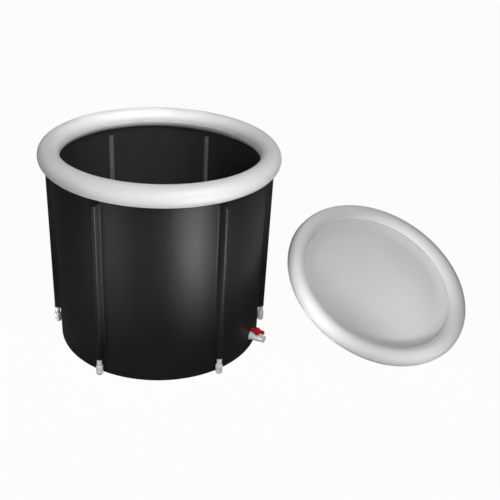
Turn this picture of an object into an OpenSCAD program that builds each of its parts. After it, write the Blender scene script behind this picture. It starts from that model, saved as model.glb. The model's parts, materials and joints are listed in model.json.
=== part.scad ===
// Cold plunge tub: a round soft-walled tub with an inflated rim, six poles in sleeves, a drain tap and a
// separate inflated lid. Origin at the centre of the tub's underside, +Z up, millimetres.

/* [Tub wall] */
// Outside diameter of the round wall
wall_d = 750; // [700:5:800]
// Thickness of the black outer skin
skin_t = 1; // [0.6:0.1:1.5]
// Thickness of the foam between the skins
wall_foam_t = 5; // [3:0.5:8]
// Thickness of the inner liner
liner_t = 0.8; // [0.5:0.1:1.2]
// Thickness of the sheet under the floor
base_sheet_t = 1.2; // [0.8:0.1:2]
// Thickness of the foam pad in the floor
base_foam_t = 6; // [3:0.5:10]

/* [Rim ring] */
// How far the ring's centre line lies outside the wall
rim_overhang = 7; // [0:1:15]
// Diameter of the inflated tube
rim_tube_d = 74; // [60:1:80]
// Height of the ring's centre line above the floor
rim_height = 702; // [650:1:800]
// Thickness of the inflated skins
film_t = 1; // [0.6:0.1:1.5]
// Play between the ring and the wall's welded top
weld_play = 0.2; // [0.1:0.05:0.4]
// Width of the weld tape that shows under the ring
rim_tape_w = 8; // [5:1:12]
// Thickness of the weld tapes
tape_t = 0.8; // [0.5:0.1:1.2]
// Thickness of the glue line under the tapes
glue_t = 0.1; // [0.05:0.05:0.2]
// Width of the upright weld strips inside
strip_w = 18; // [10:1:30]
// Drop of the inside weld strips' tops below the ring
strip_drop = 19; // [10:1:40]
// Width of the tape in the corner between floor and wall
corner_tape_w = 14; // [8:1:20]

/* [Poles and sleeves] */
// Diameter of a support pole
pole_d = 18; // [14:0.5:20]
// Wall of a support pole
pole_wall = 2; // [1.2:0.1:3]
// Distance from the tub wall to a pole's centre line
pole_offset = 17.7; // [15:0.1:20]
// Thickness of the sleeve fabric
sleeve_t = 0.7; // [0.4:0.1:1.2]
// Play between a pole and its sleeve
sleeve_play = 0.3; // [0.2:0.05:0.6]
// Width of a sleeve's strip along the wall
sleeve_w = 46; // [40:1:60]
// Width of a sleeve's channel where it leaves the wall
sleeve_mouth_w = 28; // [22:1:34]
// Height of a sleeve's lower end above the floor
sleeve_bottom = 64; // [50:1:90]
// Drop of the channel's closed end below the sleeve strip's top
channel_drop = 10.5; // [4:0.5:30]
// Play between the sleeve strip's top and the weld tape under the ring
strip_play = 0.5; // [0.3:0.1:2]
// Height of the plug in a pole's upper end
plug_h = 10; // [6:1:20]
// Thickness of the plug's head
plug_head_t = 2; // [1:0.5:4]

/* [Feet] */
// Diameter of a foot cap
foot_d = 25; // [24:0.5:28]
// Height of a foot cap
foot_h = 38; // [30:1:46]
// Thickness of the foot cap's floor
foot_floor_t = 4; // [2:0.5:8]
// Height of the sloped shoulder
foot_shoulder_h = 6; // [3:0.5:10]
// Wall left at the top of the shoulder
foot_lip_t = 1.4; // [1:0.1:3]
// Rounding of the foot cap's lower edge
foot_round = 4; // [2:0.5:6]
// Play between a pole and its foot cap, on the radius
foot_play = 0.1; // [0.05:0.05:0.3]

/* [Drain] */
// Direction of the drain seen from above, counted from the +X axis
drain_azimuth = -30; // [-36:1:-24]
// Height of the drain's axis above the floor
drain_height = 56; // [45:1:120]
// Outside diameter of the tail pipe through the wall
tail_d = 21; // [19:0.5:22]
// Bore of the tail pipe
tail_bore_d = 14; // [10:0.5:15]
// Play of threads and sockets on the tail pipe, on the radius
thread_play = 0.05; // [0.03:0.01:0.1]
// Play between the tail pipe and the holes it passes, on the radius
tail_play = 0.4; // [0.2:0.1:0.8]
// Diameter of the flange inside the tub
flange_d = 44; // [36:1:50]
// Thickness of the flange inside the tub
flange_t = 4; // [3:0.5:6]
// Diameter of the two gaskets
gasket_d = 36; // [32:1:44]
// Thickness of the two gaskets
gasket_t = 2.5; // [1.5:0.5:4]
// Width across flats of the lock nut
nut_flats = 30; // [28:1:34]
// Thickness of the lock nut
nut_t = 6.5; // [5:0.5:9]

/* [Valve] */
// Outside diameter of the valve body
valve_d = 27; // [26:0.5:28]
// Depth of the thread that takes the tail pipe
inlet_depth = 9; // [6:1:12]
// Thickness of the web behind the inlet thread
web_t = 3; // [2:0.5:5]
// Diameter of the ball
ball_d = 19; // [18:0.5:19.5]
// Wall left between the ball's bore and the stem's slot
slot_web = 0.6; // [0.5:0.1:0.8]
// Bore through the ball
ball_bore_d = 12; // [9:0.5:12.5]
// Thickness of a ball seat
seat_t = 5; // [4:0.5:6]
// Play between the ball and its seats
ball_play = 0.15; // [0.1:0.05:0.3]
// Play between the ball and the cavity round it
cavity_play = 0.45; // [0.3:0.05:0.6]
// Depth of the outlet end's spigot in the body
spigot_l = 5; // [3:0.5:8]
// Depth of the socket for the hose tail
socket_depth = 16; // [12:1:20]
// Diameter of the socket for the hose tail
socket_d = 20.3; // [19:0.1:20.6]
// Diameter of the outlet end's collar
collar_d = 25.4; // [24:0.1:27]
// Height of the stem boss above the valve's axis
boss_h = 17; // [15:0.5:20]
// Diameter of the stem boss
boss_d = 14; // [13:0.5:16]

/* [Handle] */
// Diameter of the stem
stem_d = 8; // [7:0.5:9]
// Running play of the stem, on the radius
stem_play = 0.06; // [0.04:0.01:0.1]
// Thickness of the O-ring on the stem
o_ring_t = 1.4; // [1:0.1:1.6]
// Height of the stem's top above the valve's axis
stem_top = 31; // [29:0.5:33]
// Length of the handle from tip to tip
handle_l = 57; // [45:1:58]
// Height of the handle's top above the valve's axis
handle_top = 38; // [37:0.5:44]
// Diameter of the handle's hub
hub_d = 18.6; // [17.5:0.1:20]
// Thickness of a wing at the hub
wing_root_t = 6; // [4:0.5:8]
// Thickness of a wing at its tip
wing_tip_t = 9; // [6:0.5:10]
// Height of the wings' lower edge above the valve's axis
wing_bottom = 20; // [19:0.5:23]
// Height of the wings' tip
wing_tip_h = 14; // [9:0.5:15]
// Drop of the wings' upper edge below the hub's top, at the hub
wing_drop = 1.5; // [0:0.5:3]
// Gap between moving and still faces
face_gap = 0.3; // [0.2:0.05:0.5]

/* [Air valves] */
// Bore of an air valve
air_bore_d = 12; // [10:0.5:14]
// Outside diameter of an air valve's neck
air_neck_d = 17; // [16:0.5:20]
// Diameter of an air valve's welded flange
air_flange_d = 30; // [26:1:36]
// Thickness of an air valve's welded flange
air_flange_t = 1.2; // [0.8:0.1:2]
// Height of the neck above the inflated tube
air_neck_h = 9; // [7:0.5:12]
// Depth of the valve's inner pipe below the tube's skin
air_pipe_depth = 14; // [10:1:18]
// Wall of the inner pipe
air_pipe_wall = 0.9; // [0.6:0.1:1.2]
// Play between the inner pipe and the hole in the skin, on the radius
air_pipe_play = 0.3; // [0.1:0.1:0.6]
// Thickness of the check flap
air_flap_t = 0.8; // [0.5:0.1:1.5]
// Diameter of a cap
air_cap_d = 20; // [18:0.5:21]
// Thickness of a cap
air_cap_t = 2; // [1.5:0.1:3]
// Length of the cap's plug
air_plug_l = 4; // [2:0.5:4.5]
// Play between plug and bore, on the radius
air_plug_play = 0.5; // [0.5:0.05:0.8]
// Distance from the valve's axis to the strap's bend
strap_reach = 13; // [12:0.5:15]
// Width of the strap
strap_width = 6; // [4:0.5:8]
// Thickness of the strap
strap_t = 1.2; // [0.8:0.1:1.6]
// Depth of the strap's bend below the neck's end
strap_bend_drop = 2.2; // [1.6:0.1:3]
// Direction of the ring's air valve seen from above, counted from the +X axis
rim_valve_azimuth = 90; // [75:1:105]

/* [Lid] */
// How far the lid's edge lies inside the ring's centre line
lid_inset = 7; // [0:1:20]
// Diameter of the lid's inflated tube
lid_tube_d = 68; // [60:1:74]
// Width of the welded band beside the tube
lid_band_w = 8; // [4:1:14]
// Depth of the panel below the welded band
panel_depth = 12; // [6:1:20]
// Width of the panel's curved border
panel_border_w = 42; // [25:1:60]
// Thickness of each of the panel's two sheets
sheet_t = 0.7; // [0.5:0.1:1.2]
// Thickness of the foam between the sheets
panel_foam_t = 2.6; // [2:0.1:5]
// Play between the panel and the tube
panel_play = 0.15; // [0.1:0.05:0.3]
// Gap between the rim ring and the lid beside it, seen from above
lid_gap = 50; // [20:5:150]
// Shift of the lid's centre towards the front
lid_shift = 18; // [0:1:60]
// Tilt of the lid from level
lid_tilt = 26.8; // [0:0.1:35]
// Direction to which the lid's face leans, counted from the +X axis
lid_azimuth = -62.2; // [-75:0.1:-50]
// Direction of the lid's air valve on the lid
lid_valve_azimuth = 115; // [105:1:125]
// Slope of the lid's air valve below the lid's plane
lid_valve_slope = 10; // [0:1:20]

/* [Hidden] */
$fn = 180;
ring_sides = 2 * $fn;
wall_sides = 4 * $fn;
over = 1;
// Directions of the poles round the tub, from +X towards +Y: right, back, left, front
pole_azimuths = [1, 61, 121, 178, 237, 301];
pole_numbers = [for (i = [1 : len(pole_azimuths)]) i];

// Radii and heights of the wall's layers, from the outside in
wall_r = wall_d / 2;
foam_r = wall_r - skin_t;
liner_r = foam_r - wall_foam_t;
inside_r = liner_r - liner_t;
rim_r = wall_r + rim_overhang;
rim_tube_r = rim_tube_d / 2;
rim_bottom = rim_height - rim_tube_r;
foam_floor = base_sheet_t;
liner_floor = foam_floor + base_foam_t;
floor_top = liner_floor + liner_t;
tape_r = inside_r - glue_t;
corner_tape_top = floor_top + glue_t + corner_tape_w;
strip_top = rim_bottom - strip_drop;

// Poles and their sleeves
pole_r = pole_d / 2;
pole_circle_r = wall_r + pole_offset;
channel_r = pole_r + sleeve_play;
rim_tape_bottom = rim_bottom - rim_tape_w;
sleeve_top = rim_tape_bottom - strip_play;
channel_top = sleeve_top - channel_drop;
plug_top = channel_top - sleeve_t - sleeve_play;
pole_top = plug_top - plug_head_t;

// Places along the drain's axis, counted from the tub's centre line
tail_hole_r = tail_d / 2 + tail_play;
flange_x = inside_r - gasket_t - flange_t;
nut_x = wall_r + gasket_t;
valve_x = nut_x + nut_t;
web_x = valve_x + inlet_depth;
cavity_x = web_x + web_t;
cavity_r = ball_d / 2 + cavity_play;
ball_x = cavity_x + ball_d / 2;
cavity_l = ball_d;
spigot_x = cavity_x + cavity_l;
collar_x = spigot_x + spigot_l;
socket_x = collar_x + face_gap;
valve_end_x = socket_x + socket_depth;

// The stem and the handle, from the valve's axis upwards
slot_bottom = ball_bore_d / 2 + slot_web;
tang_w = 2.8;
tang_l = 7;
shoulder_d = 10.4;
shoulder_t = 1.4;
shoulder_z = cavity_r;
shoulder_top = shoulder_z + shoulder_t;
groove_z = (shoulder_top + boss_h) / 2;
flat_w = 5.6;
screw_head_d = 7;
screw_head_t = 2.6;
screw_d = 3.2;
screw_l = 12;
screw_cross_w = 0.8;
screw_cross_depth = 1.3;
recess_depth = 3;
head_z = handle_top - recess_depth;

// The air valves
air_bore_r = air_bore_d / 2;
air_pipe_r = air_bore_r + air_pipe_wall;
knuckle_d = 1.8;

// The lid in its own frame, with its middle plane at height zero
lid_tube_r = lid_tube_d / 2;
lid_edge_r = rim_r - lid_inset;
lid_r = lid_edge_r - lid_tube_r;
band_outer_r = lid_r - lid_tube_r - panel_play;
band_inner_r = lid_r - lid_tube_r - lid_band_w;
panel_steps = 10;
lid_x = rim_r + rim_tube_r + lid_gap + lid_edge_r;
lid_z = lid_r * sin(lid_tilt) + lid_tube_r;

skin_black = "#161718";
film_white = "#e4e4e4";
pvc_white = "#dcdcda";
foam_grey = "#8f9294";
handle_red = "#c8101a";
panel_grey = "#bdbdbd";

// A tube round the Z axis
module pipe(outer_r, inner_r, bottom, top) {
    translate([0, 0, bottom]) difference() {
        cylinder(r = outer_r, h = top - bottom);
        translate([0, 0, -over]) cylinder(r = inner_r, h = top - bottom + 2 * over);
    }
}

// A solid ring of round section
module torus(centre_r, section_r, sides = $fn) {
    rotate_extrude($fn = sides) translate([centre_r, 0]) circle(r = section_r);
}

// The inflated rim as a solid, grown by a small play
module rim_solid(play = 0) {
    translate([0, 0, rim_height]) torus(rim_r, rim_tube_r + play, ring_sides);
}

// Turns its children to the direction of one pole
module at_pole(i) {
    rotate([0, 0, pole_azimuths[i - 1]]) children();
}

// The drain's frame: X runs out through the wall, Z is up, zero height is the valve's axis
module at_drain() {
    rotate([0, 0, drain_azimuth]) translate([0, 0, drain_height]) children();
}

// A round bar along the drain's axis
module bar(from_x, to_x, r, sides = $fn) {
    translate([from_x, 0, 0]) rotate([0, 90, 0]) cylinder(r = r, h = to_x - from_x, $fn = sides);
}

// A round post on the stem's axis
module post(from_z, to_z, r) {
    translate([ball_x, 0, from_z]) cylinder(r = r, h = to_z - from_z);
}

// The hole that the tail pipe passes through the wall
module drain_hole() {
    at_drain() bar(inside_r - gasket_d, wall_r + gasket_d, tail_hole_r);
}

module outer_skin() {
    color(skin_black) difference() {
        pipe(wall_r, foam_r, base_sheet_t, rim_height);
        rim_solid(weld_play);
        drain_hole();
    }
}

module wall_foam() {
    color(foam_grey) difference() {
        pipe(foam_r, liner_r, liner_floor, rim_height);
        rim_solid(weld_play);
        drain_hole();
    }
}

module inner_liner() {
    color(skin_black) difference() {
        translate([0, 0, liner_floor]) cylinder(r = liner_r, h = rim_height - liner_floor);
        translate([0, 0, floor_top]) cylinder(r = inside_r, h = rim_height);
        rim_solid(weld_play);
        drain_hole();
    }
}

module base_sheet() {
    color(skin_black) cylinder(r = wall_r, h = base_sheet_t);
}

module base_foam() {
    color(foam_grey) translate([0, 0, foam_floor]) cylinder(r = foam_r, h = base_foam_t);
}

// An angle of tape in the inside corner
module floor_corner_tape() {
    color(skin_black) union() {
        pipe(tape_r, tape_r - corner_tape_w, floor_top + glue_t, floor_top + glue_t + tape_t);
        pipe(tape_r, tape_r - tape_t, floor_top + glue_t, corner_tape_top);
    }
}

module liner_weld_strips() {
    color(skin_black) for (i = pole_numbers) at_pole(i) intersection() {
        pipe(tape_r, tape_r - tape_t, corner_tape_top + glue_t, strip_top);
        translate([0, -strip_w / 2, 0]) cube([wall_r, strip_w, strip_top]);
    }
}

module rim_weld_tape() {
    color(skin_black) difference() {
        pipe(wall_r + glue_t + tape_t, wall_r + glue_t, rim_tape_bottom, rim_height);
        rim_solid(weld_play);
    }
}

// The inflated ring is a closed hollow skin, pierced only for its air valve
module rim_ring() {
    color(film_white) difference() {
        rim_solid();
        rim_solid(-film_t);
        at_rim_valve() air_hole(rim_tube_r);
    }
}

// Where a straight line from a point touches a circle on the X axis, on the side away from the origin
function touch(point, centre_x, r) =
    let (dx = point[0] - centre_x, turn = atan2(point[1], dx) - acos(r / norm([dx, point[1]])))
    [centre_x + r * cos(turn), r * sin(turn)];

// The channel's outline: from the wall on straight flanks round the pole
module channel_solid(r, mouth_w, bottom, top) {
    foot = [wall_r - skin_t, mouth_w / 2];
    side = touch(foot, pole_circle_r, r);
    translate([pole_circle_r, 0, bottom]) cylinder(r = r, h = top - bottom);
    translate([0, 0, bottom]) linear_extrude(height = top - bottom)
        polygon([[foot[0], -foot[1]], [side[0], -side[1]], side, foot]);
}

// A strip on the wall with a channel that holds one pole and is closed at the top
module pole_sleeve(i) {
    color(skin_black) at_pole(i) difference() {
        union() {
            channel_solid(channel_r + sleeve_t, sleeve_mouth_w, sleeve_bottom, channel_top);
            intersection() {
                pipe(wall_r + sleeve_t, wall_r, sleeve_bottom, sleeve_top);
                translate([0, -sleeve_w / 2, 0]) cube([wall_r + pole_d, sleeve_w, sleeve_top]);
            }
        }
        channel_solid(channel_r, sleeve_mouth_w - 2 * sleeve_t, sleeve_bottom - over,
                      channel_top - sleeve_t);
        translate([0, 0, sleeve_bottom - over]) cylinder(r = wall_r, h = rim_height);
    }
}

module support_pole(i) {
    color(pvc_white) at_pole(i) translate([pole_circle_r, 0, 0])
        pipe(pole_r, pole_r - pole_wall, foot_floor_t, pole_top);
}

module pole_top_plugs() {
    color(pvc_white) for (i = pole_numbers) at_pole(i) translate([pole_circle_r, 0, pole_top]) {
        cylinder(r = pole_r, h = plug_head_t);
        translate([0, 0, -plug_h]) cylinder(r = pole_r - pole_wall, h = plug_h);
    }
}

// A cap with a rounded lower edge, a sloped shoulder and a blind socket for the pole
module foot_cap(i) {
    foot_r = foot_d / 2;
    lip_r = pole_r + foot_play + foot_lip_t;
    shoulder_bottom = foot_h - foot_shoulder_h;
    color(pvc_white) at_pole(i) translate([pole_circle_r, 0, 0]) difference() {
        union() {
            cylinder(r = foot_r - foot_round, h = foot_round);
            translate([0, 0, foot_round]) torus(foot_r - foot_round, foot_round);
            translate([0, 0, foot_round]) cylinder(r = foot_r, h = shoulder_bottom - foot_round);
            translate([0, 0, shoulder_bottom]) cylinder(r1 = foot_r, r2 = lip_r, h = foot_shoulder_h);
        }
        translate([0, 0, foot_floor_t]) cylinder(r = pole_r + foot_play, h = foot_h);
    }
}

// The flanged pipe that carries the water through the wall
module drain_tail() {
    color(pvc_white) at_drain() difference() {
        union() {
            bar(flange_x, flange_x + flange_t, flange_d / 2);
            bar(flange_x, web_x - face_gap, tail_d / 2);
        }
        bar(flange_x - over, web_x + over, tail_bore_d / 2);
    }
}

// Rubber ring between the flange and the liner, shaped to the round wall
module drain_gasket_inner() {
    color("#2a2a2a") difference() {
        intersection() {
            at_drain() bar(flange_x + flange_t, wall_r, gasket_d / 2);
            cylinder(r = inside_r, h = rim_height, $fn = wall_sides);
        }
        drain_hole();
    }
}

// Rubber ring between the round wall and the lock nut
module drain_gasket_outer() {
    color("#2a2a2a") difference() {
        at_drain() bar(foam_r - gasket_t, nut_x, gasket_d / 2);
        cylinder(r = wall_r, h = rim_height, $fn = wall_sides);
        drain_hole();
    }
}

module drain_lock_nut() {
    color(pvc_white) at_drain() difference() {
        bar(nut_x, valve_x, nut_flats / sqrt(3), 6);
        bar(nut_x - over, valve_x + over, tail_d / 2 + thread_play);
    }
}

// The housing of the ball, with the inlet thread, the cavity and the stem's boss
module valve_body() {
    color(pvc_white) at_drain() difference() {
        union() {
            bar(valve_x, collar_x, valve_d / 2);
            post(0, boss_h, boss_d / 2);
        }
        bar(valve_x - over, web_x, tail_d / 2 + thread_play);
        bar(valve_x, cavity_x + over, ball_bore_d / 2);
        bar(cavity_x, collar_x + over, cavity_r);
        post(0, shoulder_top + face_gap, shoulder_d / 2 + face_gap);
        post(0, boss_h + over, stem_d / 2 + stem_play);
    }
}

// The outlet end: a spigot in the body, a collar and the socket for a hose tail
module valve_end() {
    color(pvc_white) at_drain() difference() {
        union() {
            bar(spigot_x, collar_x, cavity_r - thread_play);
            bar(collar_x, valve_end_x, collar_d / 2);
        }
        bar(spigot_x - over, socket_x + over, ball_bore_d / 2);
        bar(socket_x, valve_end_x + over, socket_d / 2);
    }
}

// Two rings that hold the ball from either side
module valve_seats() {
    bore_r = ball_bore_d / 2;
    color("#f2f2ee") at_drain() translate([ball_x, 0, 0]) for (turn = [-90, 90]) rotate([0, turn, 0])
        rotate_extrude() difference() {
            translate([bore_r, ball_d / 2 - seat_t]) square([cavity_r - thread_play - bore_r, seat_t]);
            circle(r = ball_d / 2 + ball_play);
        }
}

// The ball with its bore and the slot that the stem turns
module valve_ball() {
    color("#c9ccd0") at_drain() difference() {
        translate([ball_x, 0, 0]) sphere(r = ball_d / 2);
        bar(cavity_x - over, spigot_x + over, ball_bore_d / 2);
        slot_box(slot_bottom, ball_d / 2 + over, ball_play);
    }
}

// A box on the stem's axis as wide as the tang and a play round it
module slot_box(from_z, to_z, play) {
    translate([ball_x - tang_l / 2 - play, -tang_w / 2 - play, from_z])
        cube([tang_l + 2 * play, tang_w + 2 * play, to_z - from_z]);
}

// The part of the stem, or of the hole for it, above the boss: a bar with two flats
module flatted_post(from_z, to_z, r, width) {
    intersection() {
        post(from_z, to_z, r);
        translate([ball_x - r, -width / 2, from_z]) cube([2 * r, width, to_z - from_z]);
    }
}

module valve_stem() {
    stem_r = stem_d / 2;
    color("#e8e8e4") at_drain() difference() {
        union() {
            slot_box(slot_bottom + ball_play, shoulder_z, 0);
            post(shoulder_z, shoulder_top, shoulder_d / 2);
            post(shoulder_z, boss_h + face_gap, stem_r);
            flatted_post(boss_h, stem_top, stem_r, flat_w);
        }
        difference() {
            post(groove_z - o_ring_t / 2 - stem_play, groove_z + o_ring_t / 2 + stem_play, stem_r + over);
            post(groove_z - o_ring_t, groove_z + o_ring_t, stem_r - o_ring_t);
        }
        post(head_z - screw_l - face_gap, stem_top + over, screw_d / 2);
    }
}

module stem_o_ring() {
    color("#1c1c1c") at_drain() translate([ball_x, 0, groove_z])
        torus((stem_d - o_ring_t) / 2 + stem_play / 3, o_ring_t / 2);
}

// The wings from the side: level below, with tops that fall from the hub to the tips
module wing_side() {
    tip_x = handle_l / 2;
    tip_z = wing_bottom + wing_tip_h;
    hub_x = hub_d / 2;
    hub_z = handle_top - wing_drop;
    rotate([90, 0, 0]) translate([0, 0, -wing_tip_t]) linear_extrude(height = 2 * wing_tip_t)
        polygon([[-tip_x, wing_bottom], [tip_x, wing_bottom], [tip_x, tip_z],
                 [hub_x, hub_z], [-hub_x, hub_z], [-tip_x, tip_z]]);
}

// The wings from above: narrow at the hub, with round tips
module wing_plan() {
    tip_r = wing_tip_t / 2;
    tip_x = handle_l / 2 - tip_r;
    root_r = wing_root_t / 2;
    for (side = [-1, 1]) translate([side * tip_x, 0]) circle(r = tip_r);
    polygon([[-tip_x, -tip_r], [0, -root_r], [tip_x, -tip_r], [tip_x, tip_r], [0, root_r], [-tip_x, tip_r]]);
}

// A butterfly handle: a hub with a skirt round the boss, and two wings
module valve_handle() {
    skirt_bottom = valve_d / 2 + face_gap;
    color(handle_red) at_drain() difference() {
        union() {
            post(skirt_bottom, handle_top, hub_d / 2);
            translate([ball_x, 0, 0]) intersection() {
                wing_side();
                translate([0, 0, wing_bottom]) linear_extrude(height = handle_top) wing_plan();
            }
        }
        post(skirt_bottom - over, boss_h + face_gap, boss_d / 2 + face_gap);
        flatted_post(boss_h, stem_top, stem_d / 2 + thread_play, flat_w + 2 * thread_play);
        post(stem_top - over, handle_top + over, screw_d / 2 + thread_play);
        post(handle_top - recess_depth, handle_top + over, screw_head_d / 2 + face_gap);
    }
}

module handle_screw() {
    color("#b9bcc0") at_drain() difference() {
        union() {
            post(head_z, head_z + screw_head_t, screw_head_d / 2);
            post(head_z - screw_l, head_z, screw_d / 2);
        }
        for (turn = [0, 90]) translate([ball_x, 0, head_z + screw_head_t]) rotate([0, 0, turn])
            cube([screw_head_d / 2, screw_cross_w, 2 * screw_cross_depth], center = true);
    }
}

// An air valve's frame on a ring: Z runs out through the tube's skin, Y is the strap's side
module at_ring_side(centre_r, azimuth, slope) {
    rotate([0, 0, azimuth]) translate([centre_r, 0, 0])
        rotate([0, slope, 0]) rotate([90, 0, 90]) children();
}

module at_rim_valve() {
    translate([0, 0, rim_height]) at_ring_side(rim_r, rim_valve_azimuth, 0) children();
}

module at_lid_valve() {
    at_ring_side(lid_r, lid_valve_azimuth, lid_valve_slope) children();
}

// The hole in a tube's skin for an air valve's inner pipe
module air_hole(tube_r) {
    cylinder(r = air_pipe_r + air_pipe_play, h = tube_r + air_flange_d);
}

// The outside of an air valve: flange, neck and the root of the strap
module air_valve_outside(tube_r) {
    neck_top = tube_r + air_neck_h;
    root_y = air_neck_d / 2 - strap_t;
    root_z = neck_top - strap_bend_drop - strap_t / 2;
    root_l = strap_reach - knuckle_d / 2 - face_gap - root_y;
    cylinder(r = air_flange_d / 2, h = tube_r + air_flange_t);
    cylinder(r = air_neck_d / 2, h = neck_top);
    translate([-strap_width / 2, root_y, root_z]) cube([strap_width, root_l, strap_t]);
}

// The inside of an air valve: a short pipe that reaches into the tube
module air_valve_inside(tube_r) {
    translate([0, 0, tube_r - air_pipe_depth]) cylinder(r = air_pipe_r, h = air_pipe_depth + over);
}

module air_valve_bore(tube_r) {
    translate([0, 0, tube_r - air_pipe_depth - over])
        cylinder(r = air_bore_r, h = air_pipe_depth + air_neck_h + 2 * over);
}

module air_valve_flap(tube_r) {
    translate([0, 0, tube_r - air_pipe_depth - air_flap_t]) cylinder(r = air_pipe_r, h = air_flap_t);
}

// A cap with a plug, on a strap that bends beside the neck
module air_valve_cap(tube_r) {
    neck_top = tube_r + air_neck_h;
    cap_z = neck_top + face_gap;
    bend_z = neck_top - strap_bend_drop;
    bend_y = strap_reach - strap_t / 2;
    translate([0, 0, cap_z]) cylinder(r = air_cap_d / 2, h = air_cap_t);
    translate([0, 0, neck_top - air_plug_l]) cylinder(r = air_bore_r - air_plug_play, h = air_plug_l + face_gap);
    translate([-strap_width / 2, 0, 0]) {
        translate([0, 0, cap_z]) cube([strap_width, strap_reach + strap_t / 2, strap_t]);
        translate([0, bend_y, bend_z]) cube([strap_width, strap_t, cap_z - bend_z + strap_t]);
        translate([0, strap_reach, bend_z]) rotate([0, 90, 0]) cylinder(r = knuckle_d / 2, h = strap_width);
    }
}

module rim_valve_base() {
    color(film_white) difference() {
        union() {
            difference() {
                at_rim_valve() air_valve_outside(rim_tube_r);
                rim_solid();
            }
            at_rim_valve() air_valve_inside(rim_tube_r);
        }
        at_rim_valve() air_valve_bore(rim_tube_r);
    }
}

module rim_valve_flap() {
    color("#d0d0d0") at_rim_valve() air_valve_flap(rim_tube_r);
}

module rim_valve_cap() {
    color(film_white) at_rim_valve() air_valve_cap(rim_tube_r);
}

// The lid stands beside the tub on its low edge and leans its face to the front
module at_lid() {
    translate([lid_x, -lid_shift, lid_z]) rotate([0, 0, lid_azimuth]) rotate([0, lid_tilt, 0]) children();
}

module lid_ring() {
    color(film_white) at_lid() difference() {
        torus(lid_r, lid_tube_r, ring_sides);
        torus(lid_r, lid_tube_r - film_t, ring_sides);
        at_lid_valve() air_hole(lid_tube_r);
    }
}

// Depth of the panel at a radius: level in the middle, then a quarter wave up to the welded band
function panel_point(share, lift) =
    [band_inner_r - panel_border_w * share, lift - panel_depth * sin(90 * share)];
function panel_line(lift) = concat(
    [[band_outer_r, lift]],
    [for (step = [0 : panel_steps]) panel_point(step / panel_steps, lift)],
    [[0, lift - panel_depth]]);

// One layer of the panel between two heights, with the dished outline
module panel_layer(bottom, top) {
    upper = panel_line(top);
    lower = panel_line(bottom);
    rotate_extrude() polygon(concat(upper, [for (k = [len(lower) - 1 : -1 : 0]) lower[k]]));
}

// The welded filler between the two sheets, beside the tube
module lid_weld_band() {
    color(film_white) at_lid()
        pipe(band_outer_r, band_inner_r + panel_play, -panel_foam_t / 2, panel_foam_t / 2);
}

module lid_top_sheet() {
    color(panel_grey) at_lid() panel_layer(panel_foam_t / 2, panel_foam_t / 2 + sheet_t);
}

module lid_bottom_sheet() {
    color(panel_grey) at_lid() panel_layer(-panel_foam_t / 2 - sheet_t, -panel_foam_t / 2);
}

module lid_panel_foam() {
    color(foam_grey) at_lid() intersection() {
        panel_layer(-panel_foam_t / 2, panel_foam_t / 2);
        translate([0, 0, -lid_tube_r]) cylinder(r = band_inner_r, h = lid_tube_d);
    }
}

module lid_valve_base() {
    color(film_white) at_lid() difference() {
        union() {
            difference() {
                at_lid_valve() air_valve_outside(lid_tube_r);
                torus(lid_r, lid_tube_r, ring_sides);
            }
            at_lid_valve() air_valve_inside(lid_tube_r);
        }
        at_lid_valve() air_valve_bore(lid_tube_r);
    }
}

module lid_valve_flap() {
    color("#d0d0d0") at_lid() at_lid_valve() air_valve_flap(lid_tube_r);
}

module lid_valve_cap() {
    color(film_white) at_lid() at_lid_valve() air_valve_cap(lid_tube_r);
}

outer_skin();
wall_foam();
inner_liner();
base_sheet();
base_foam();
floor_corner_tape();
liner_weld_strips();
rim_weld_tape();
rim_ring();
rim_valve_base();
rim_valve_flap();
rim_valve_cap();
for (i = pole_numbers) pole_sleeve(i);
for (i = pole_numbers) support_pole(i);
for (i = pole_numbers) foot_cap(i);
pole_top_plugs();
drain_tail();
drain_gasket_inner();
drain_gasket_outer();
drain_lock_nut();
valve_body();
valve_end();
valve_seats();
valve_ball();
valve_stem();
stem_o_ring();
valve_handle();
handle_screw();
lid_ring();
lid_weld_band();
lid_top_sheet();
lid_panel_foam();
lid_bottom_sheet();
lid_valve_base();
lid_valve_flap();
lid_valve_cap();
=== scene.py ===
import json
import math

import bmesh
import bpy
import numpy as np
from mathutils import Matrix, Vector


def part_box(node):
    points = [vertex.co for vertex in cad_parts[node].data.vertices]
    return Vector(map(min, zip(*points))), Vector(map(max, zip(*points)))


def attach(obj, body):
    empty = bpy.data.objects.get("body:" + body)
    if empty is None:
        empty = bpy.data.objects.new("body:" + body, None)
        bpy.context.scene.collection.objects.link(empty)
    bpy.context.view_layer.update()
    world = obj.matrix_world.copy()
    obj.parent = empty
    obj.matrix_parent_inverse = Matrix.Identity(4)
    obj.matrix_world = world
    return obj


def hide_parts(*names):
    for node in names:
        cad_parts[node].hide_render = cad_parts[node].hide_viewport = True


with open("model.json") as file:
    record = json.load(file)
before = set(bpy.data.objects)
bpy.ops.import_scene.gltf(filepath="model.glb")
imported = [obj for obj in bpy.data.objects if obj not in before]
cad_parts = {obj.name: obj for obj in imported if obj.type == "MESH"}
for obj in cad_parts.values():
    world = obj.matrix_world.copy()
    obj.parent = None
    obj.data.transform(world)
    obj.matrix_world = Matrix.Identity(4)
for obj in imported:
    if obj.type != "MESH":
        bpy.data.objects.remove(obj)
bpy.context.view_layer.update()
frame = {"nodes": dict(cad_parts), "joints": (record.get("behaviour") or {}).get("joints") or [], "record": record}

bl_info = {
    "name": "Cold plunge tub",
    "version": (1, 0, 0),
    "blender": (4, 5, 0),
    "location": "View3D > Sidebar > Cold plunge tub",
    "description": "Dresses a soft-walled cold plunge tub, its drain valve and its inflated lid",
    "category": "Object",
}

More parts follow.
